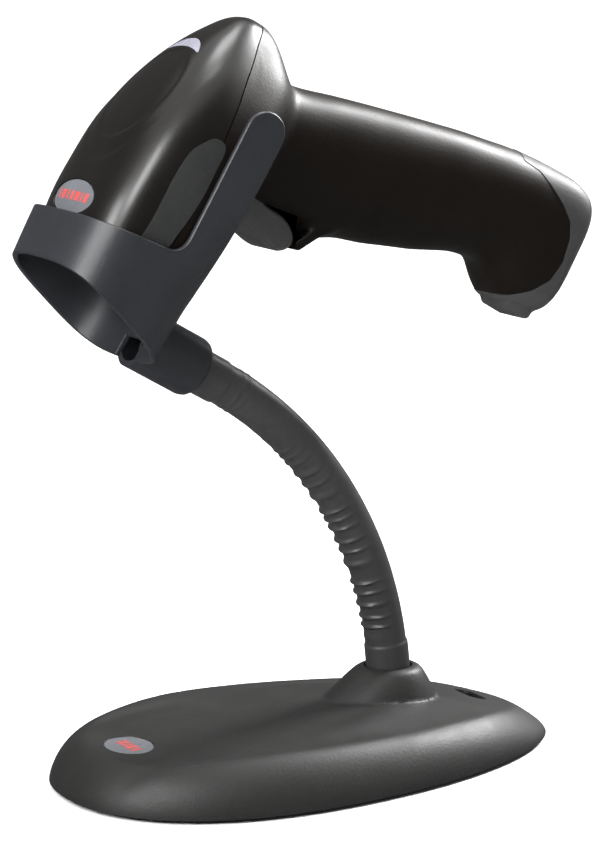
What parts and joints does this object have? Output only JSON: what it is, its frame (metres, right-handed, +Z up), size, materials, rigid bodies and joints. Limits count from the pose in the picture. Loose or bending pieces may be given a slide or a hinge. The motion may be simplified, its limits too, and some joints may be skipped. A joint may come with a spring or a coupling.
{
  "type": "handheld barcode scanner",
  "caption": "Pistol-grip laser barcode scanner resting in the ring cradle of a weighted gooseneck stand, with a trigger and a corded-jack foot.",
  "frame": {"origin": "on the floor, under the middle of the whole assembly's box", "axes": "+Z up, -Y the front, the way the scanner looks, +X the object's left"},
  "size_m": [0.1044, 0.2028, 0.2483],
  "materials": {
    "base_plastic": "fine matte grain",
    "cradle_plastic": "fine matte grain",
    "head_plastic": "satin",
    "handle_plastic": "fine satin grain",
    "grey_plastic": "fine matte grain",
    "inner_plastic": "moulded",
    "sleeve_vinyl": "satin vinyl",
    "gooseneck_steel": "wound steel",
    "fitting_steel": "machined",
    "screw_steel": "zinc plated",
    "weight_iron": "painted",
    "foot_rubber": "matte",
    "gasket_rubber": "matte",
    "badge_plastic": "satin print",
    "light_lens": "frosted",
    "window_glass": "clear",
    "mirror_glass": "polished",
    "brass_part": "machined",
    "board_green": "solder mask",
    "coil_copper": "wound wire",
    "ribbon_film": "polyimide film",
    "spring_steel": "music wire",
    "alloy": "cast"
  },
  "bodies": {
    "stand": {"base_cover": "base_plastic", "base_badge": "badge_plastic", "base_weight": "weight_iron", "base_plate": "base_plastic", "rubber_feet": "foot_rubber", "base_screws": "screw_steel", "neck_lower_collar": "sleeve_vinyl", "neck_lower_fitting": "fitting_steel", "neck_lower_nut": "fitting_steel", "neck_sleeve_1": "sleeve_vinyl", "neck_core_1": "gooseneck_steel"},
    "link_1": {"neck_sleeve_2": "sleeve_vinyl", "neck_core_2": "gooseneck_steel"},
    "link_2": {"neck_sleeve_3": "sleeve_vinyl", "neck_core_3": "gooseneck_steel"},
    "link_3": {"neck_sleeve_4": "sleeve_vinyl", "neck_core_4": "gooseneck_steel"},
    "link_4": {"neck_sleeve_5": "sleeve_vinyl", "neck_core_5": "gooseneck_steel"},
    "cup": {"cradle": "cradle_plastic", "neck_upper_collar": "sleeve_vinyl", "neck_upper_fitting": "fitting_steel", "neck_upper_screw": "screw_steel", "neck_sleeve_6": "sleeve_vinyl", "neck_core_6": "gooseneck_steel"},
    "scanner": {"head_cover": "head_plastic", "handle_housing": "handle_plastic", "end_cap": "grey_plastic", "led_lens": "light_lens", "head_badge": "badge_plastic", "side_pad_left": "grey_plastic", "side_pad_right": "grey_plastic", "cable_jack": "inner_plastic", "trigger_pin": "spring_steel", "trigger_switch": "inner_plastic", "nose_bezel": "inner_plastic", "window_gasket": "gasket_rubber", "scan_window": "window_glass", "engine_chassis": "alloy", "engine_screws": "screw_steel", "main_board": "board_green", "laser_module": "brass_part", "laser_clamp": "alloy", "photodiode": "inner_plastic", "scan_coil": "coil_copper", "beeper": "inner_plastic", "status_led": "light_lens", "led_board": "board_green", "handle_board": "board_green", "ribbon_cable": "ribbon_film", "housing_screws": "screw_steel", "cap_screw": "screw_steel"},
    "trigger_blade": {"trigger": "grey_plastic", "trigger_spring": "spring_steel"},
    "mirror": {"scan_mirror": "mirror_glass", "mirror_magnet": "fitting_steel"}
  },
  "joints": [
    {"name": "neck_bend", "type": "hinge", "parent": "stand", "child": "link_1", "pos_m": [0, 0.02554, 0.04249], "axis": [1, 0, 0], "range_deg": [-18, 10]},
    {"name": "neck_side", "type": "hinge", "parent": "link_1", "child": "link_2", "pos_m": [0, 0.01808, 0.06801], "axis": [0, 0.9265, 0.3764], "range_deg": [-12, 12]},
    {"name": "neck_bend_middle", "type": "hinge", "parent": "link_2", "child": "link_3", "pos_m": [0, 0.00562, 0.0915], "axis": [1, 0, 0], "range_deg": [-18, 10]},
    {"name": "neck_side_upper", "type": "hinge", "parent": "link_3", "child": "link_4", "pos_m": [0, -0.01132, 0.11199], "axis": [0, 0.702, 0.7122], "range_deg": [-12, 12]},
    {"name": "neck_bend_upper", "type": "hinge", "parent": "link_4", "child": "cup", "pos_m": [0, -0.03206, 0.12864], "axis": [1, 0, 0], "range_deg": [-18, 10]},
    {"name": "scanner_lift", "type": "slide", "parent": "cup", "child": "scanner", "axis": [0, 0.5, 0.866], "range_m": [0, 0.12]},
    {"name": "trigger_pull", "type": "hinge", "parent": "scanner", "child": "trigger_blade", "pos_m": [0, -0.03155, 0.19814], "axis": [1, 0, 0], "range_deg": [0, 5], "stiffness_Nm_per_rad": 0.3, "springref_deg": -8.59},
    {"name": "mirror_sweep", "type": "hinge", "parent": "scanner", "child": "mirror", "pos_m": [0, -0.05523, 0.21413], "axis": [0, -0.866, 0.5], "range_deg": [-10, 10], "stiffness_Nm_per_rad": 0.001}
  ],
  "couplings": [
    {"joint": "neck_bend_middle", "follows": "neck_bend", "ratio": 1},
    {"joint": "neck_bend_upper", "follows": "neck_bend", "ratio": 1},
    {"joint": "neck_side_upper", "follows": "neck_side", "ratio": 1}
  ]
}
